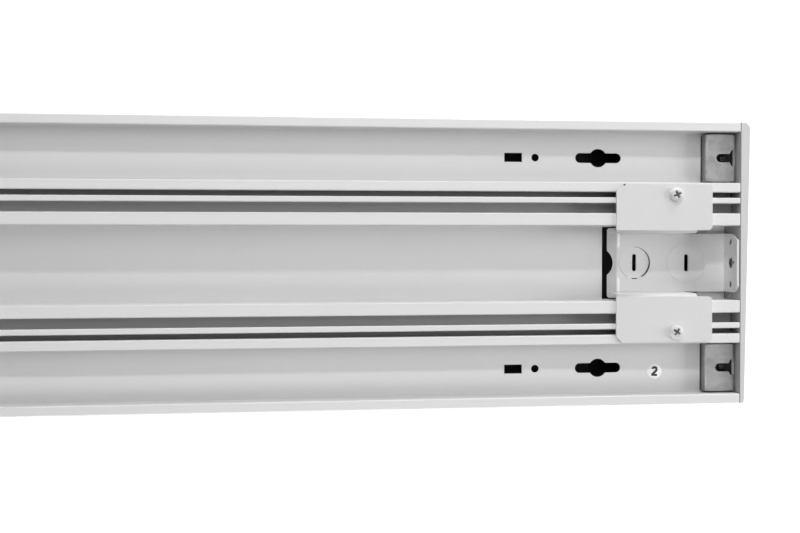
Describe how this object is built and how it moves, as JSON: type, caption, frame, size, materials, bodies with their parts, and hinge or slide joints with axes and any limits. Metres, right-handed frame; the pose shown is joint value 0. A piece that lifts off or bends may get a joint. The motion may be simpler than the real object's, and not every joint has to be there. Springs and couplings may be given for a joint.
{
  "type": "linear light fixture",
  "caption": "Wide surface-mounted linear ceiling light: extruded body with mounting channels, lift-off wiring covers, end caps, frosted lens and its driver inside.",
  "frame": {"origin": "centre of the plane that lies against the ceiling, between the rims and rails of the body", "axes": "+X along the body, towards the end with the round label; +Y across it, to the rear; +Z out of the back, towards the ceiling"},
  "size_m": [1.22, 0.19, 0.0806],
  "materials": {
    "body_paint": "white semi-gloss powder coat on extruded aluminium",
    "cap_paint": "white powder coat on cast aluminium",
    "cover_paint": "white semi-gloss powder coat on sheet steel",
    "white_screw": "painted pan head screw",
    "zinc_screw": "zinc plated",
    "green_screw": "green dyed zinc",
    "galvanised_steel": "dull galvanised sheet",
    "tray_paint": "white reflective paint",
    "board_white": "white solder mask",
    "chip_phosphor": "yellow phosphor in a white frame",
    "connector_nylon": "natural nylon",
    "driver_metal": "bare pressed sheet",
    "board_green": "green solder mask",
    "transformer_tape": "yellow tape over ferrite",
    "capacitor_sleeve": "shrink sleeve",
    "wire_black": "wire insulation",
    "wire_white": "wire insulation",
    "wire_green": "wire insulation",
    "wire_red": "wire insulation",
    "grommet_rubber": "moulded rubber",
    "frosted_lens": "frosted acrylic",
    "mark_label": "round paper label with a number"
  },
  "bodies": {
    "fixture_body": {"housing_extrusion": "body_paint", "end_cap_left": "cap_paint", "end_cap_right": "cap_paint", "end_cap_screws_left": "zinc_screw", "end_cap_screws_right": "zinc_screw", "joiner_left_front": "galvanised_steel", "joiner_left_rear": "galvanised_steel", "joiner_right_front": "galvanised_steel", "joiner_right_rear": "galvanised_steel", "joiner_screws": "zinc_screw", "gear_tray": "tray_paint", "tray_screws": "zinc_screw", "led_board_left_front": "board_white", "led_board_left_rear": "board_white", "led_board_right_front": "board_white", "led_board_right_rear": "board_white", "led_chips": "chip_phosphor", "board_connectors": "connector_nylon", "board_screws": "zinc_screw", "driver_case": "driver_metal", "driver_lid": "driver_metal", "driver_board": "board_green", "driver_transformer": "transformer_tape", "driver_capacitors": "capacitor_sleeve", "driver_screws": "zinc_screw", "terminal_block": "connector_nylon", "terminal_screws": "zinc_screw", "earth_screw": "green_screw", "line_wire": "wire_black", "neutral_wire": "wire_white", "earth_wire": "wire_green", "dc_wires_front": "wire_red", "dc_wires_rear": "wire_red", "tray_grommet": "grommet_rubber", "end_mark": "mark_label"},
    "left_cover": {"wiring_cover_left": "cover_paint", "cover_screws_left": "white_screw"},
    "right_cover": {"wiring_cover_right": "cover_paint", "cover_screws_right": "white_screw"},
    "lens_panel": {"lens": "frosted_lens", "lens_rail_front": "frosted_lens", "lens_rail_rear": "frosted_lens"}
  },
  "joints": [
    {"name": "left_cover_lift", "type": "slide", "parent": "fixture_body", "child": "left_cover", "axis": [0, 0, 1], "range_m": [0, 0.06]},
    {"name": "right_cover_lift", "type": "slide", "parent": "fixture_body", "child": "right_cover", "axis": [0, 0, 1], "range_m": [0, 0.06]},
    {"name": "lens_release", "type": "slide", "parent": "fixture_body", "child": "lens_panel", "axis": [0, 0, -1], "range_m": [0, 0.06]}
  ]
}
